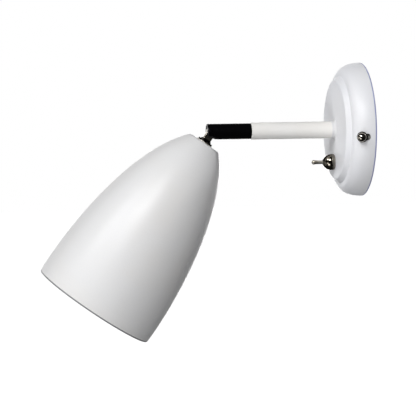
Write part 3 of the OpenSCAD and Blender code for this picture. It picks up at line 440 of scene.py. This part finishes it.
# For gloss it is white behind the part and dark on the camera's side, as the rest of the studio is
far = ground.ramp(ground.dot((1, 0, 0)), -3.6, -2.2, 1.0, 0.0)
near = ground.math("SUBTRACT", 1.0, far)
ground.tint(ground.math("MULTIPLY", rays["Is Glossy Ray"], near), (0.02, 0.02, 0.02))
seen = ground.math("MAXIMUM", rays["Is Camera Ray"], rays["Is Transmission Ray"])
seen = ground.math("MAXIMUM", seen, ground.math("MULTIPLY", rays["Is Glossy Ray"], far))
ground.shader.inputs["Emission Color"].default_value = (1, 1, 1, 1)
ground.link(ground.math("MULTIPLY", seen, 0.93), ground.shader.inputs["Emission Strength"])
floor_mesh.materials.append(ground.material)

# World: white where it is seen, dimmer as light and dimmest on the far side, and for gloss white behind the
# part and dark on the camera's side, as in a studio
world = bpy.data.worlds.new("studio")
bpy.context.scene.world = world
world.use_nodes = True
tree = world.node_tree
tree.nodes.clear()


def wire(kind, inputs=(), **settings):
    n = tree.nodes.new(kind)
    for key, value in settings.items():
        setattr(n, key, value)
    for key, value in inputs:
        if isinstance(value, bpy.types.NodeSocket):
            tree.links.new(value, n.inputs[key])
        else:
            n.inputs[key].default_value = value
    return n


path = wire("ShaderNodeLightPath")
heading = wire("ShaderNodeSeparateXYZ", [(0, wire("ShaderNodeTexCoord").outputs["Generated"])])
behind = wire("ShaderNodeMapRange", [("Value", heading.outputs["X"]), ("From Min", -0.97), ("From Max", -0.8),
                                     ("To Min", 1.0), ("To Max", 0.02)])
fill = wire("ShaderNodeMapRange", [("Value", heading.outputs["X"]), ("From Min", -1.0), ("From Max", 1.0),
                                   ("To Min", 0.0), ("To Max", 0.36)])
in_gloss = wire("ShaderNodeMix", [("Factor", path.outputs["Is Glossy Ray"]), ("A", fill.outputs["Result"]),
                                  ("B", behind.outputs["Result"])], data_type="FLOAT")
seen_sky = wire("ShaderNodeMath", [(0, path.outputs["Is Camera Ray"]),
                                   (1, path.outputs["Is Transmission Ray"])], operation="MAXIMUM")
level = wire("ShaderNodeMix", [("Factor", seen_sky.outputs[0]), ("A", in_gloss.outputs["Result"]),
                               ("B", 1.0)], data_type="FLOAT")
background = wire("ShaderNodeBackground", [("Color", (1, 1, 1, 1)), ("Strength", level.outputs["Result"])])
wire("ShaderNodeOutputWorld", [("Surface", background.outputs[0])])


# What the lamps look at: the middle of the part
MIDDLE = (0.0, -0.1, -0.04)


def lamp(name, place, size, watts):
    data = bpy.data.lights.new(name, "AREA")
    data.shape = "DISK"
    data.size = size
    data.energy = watts
    obj = bpy.data.objects.new(name, data)
    bpy.context.scene.collection.objects.link(obj)
    obj.location = place
    obj.rotation_mode = "QUATERNION"
    obj.rotation_quaternion = (Vector(MIDDLE) - Vector(place)).to_track_quat("-Z", "Y")


def at(azimuth, elevation, distance=1.6):
    """A place round the part. Azimuth 0 is the camera's side (+X) and -90 the front (-Y)."""
    a, e = math.radians(azimuth), math.radians(elevation)
    return (MIDDLE[0] + distance * math.cos(a) * math.cos(e),
            MIDDLE[1] + distance * math.sin(a) * math.cos(e),
            MIDDLE[2] + distance * math.sin(e))


# Name: azimuth and elevation in degrees, diameter in metres, watts
LAMPS = {
    "key_lamp": (-28, 40, 0.7, 12.3),
    "left_lamp": (-65, 42, 0.55, 6.1),
    "front_lamp": (-50, -12, 0.35, 1.6),
    "lower_lamp": (-36, -32, 0.7, 4.2),
    "mouth_lamp": (-80, -8, 0.35, 2.1),
    # Straight behind the part as the camera sees it, for the far side
    "far_lamp": (166.6, -7.3, 0.7, 5.0),
}
for name, (azimuth, elevation, size, watts) in LAMPS.items():
    lamp(name, at(azimuth, elevation), size, watts)
bpy.data.objects["far_lamp"].visible_camera = False

# Narrow beam into the canopy's open back, which catches all of it
BEAM_RADIUS, BEAM_LENGTH = 0.037, 0.7
back_spot = bpy.data.objects.new("back_spot", bpy.data.lights.new("back_spot", "SPOT"))
bpy.context.scene.collection.objects.link(back_spot)
back_spot.location = (-0.12, 0.55, 0.42)
back_spot.rotation_mode = "QUATERNION"
back_spot.rotation_quaternion = (-back_spot.location).to_track_quat("-Z", "Y")
back_spot.data.spot_size = 2.0 * math.atan(BEAM_RADIUS / BEAM_LENGTH)
back_spot.data.spot_blend = 0.3
back_spot.data.shadow_soft_size = 0.05
back_spot.data.energy = 15.0

# Camera, matched to the photograph's outlines
IMAGE_WIDTH, FOCAL_LENGTH, SENSOR_WIDTH = 416.0, 2000.0, 36.0  # pixels, pixels, millimetres
CAMERA_AT = (1.45515, -0.36707, 0.16844)
YAW, PITCH, ROLL = (math.radians(a) for a in (-9.78, -8.69, 0.18))
look_dir = Vector((-math.cos(YAW) * math.cos(PITCH), -math.sin(YAW) * math.cos(PITCH), math.sin(PITCH)))
side_dir = Vector((-math.sin(YAW), math.cos(YAW), 0.0))
up_dir = side_dir.cross(look_dir)
right = math.cos(ROLL) * side_dir + math.sin(ROLL) * up_dir
above = -math.sin(ROLL) * side_dir + math.cos(ROLL) * up_dir
camera = bpy.data.objects.new("camera", bpy.data.cameras.new("camera"))
bpy.context.scene.collection.objects.link(camera)
camera.data.sensor_width = SENSOR_WIDTH
camera.data.lens = SENSOR_WIDTH * FOCAL_LENGTH / IMAGE_WIDTH
camera.data.clip_start = 0.05
camera.data.clip_end = 50.0
camera.matrix_world = Matrix.Translation(CAMERA_AT) @ Matrix((right, above, -look_dir)).transposed().to_4x4()
bpy.context.scene.camera = camera
bpy.context.scene.view_settings.view_transform = "Standard"
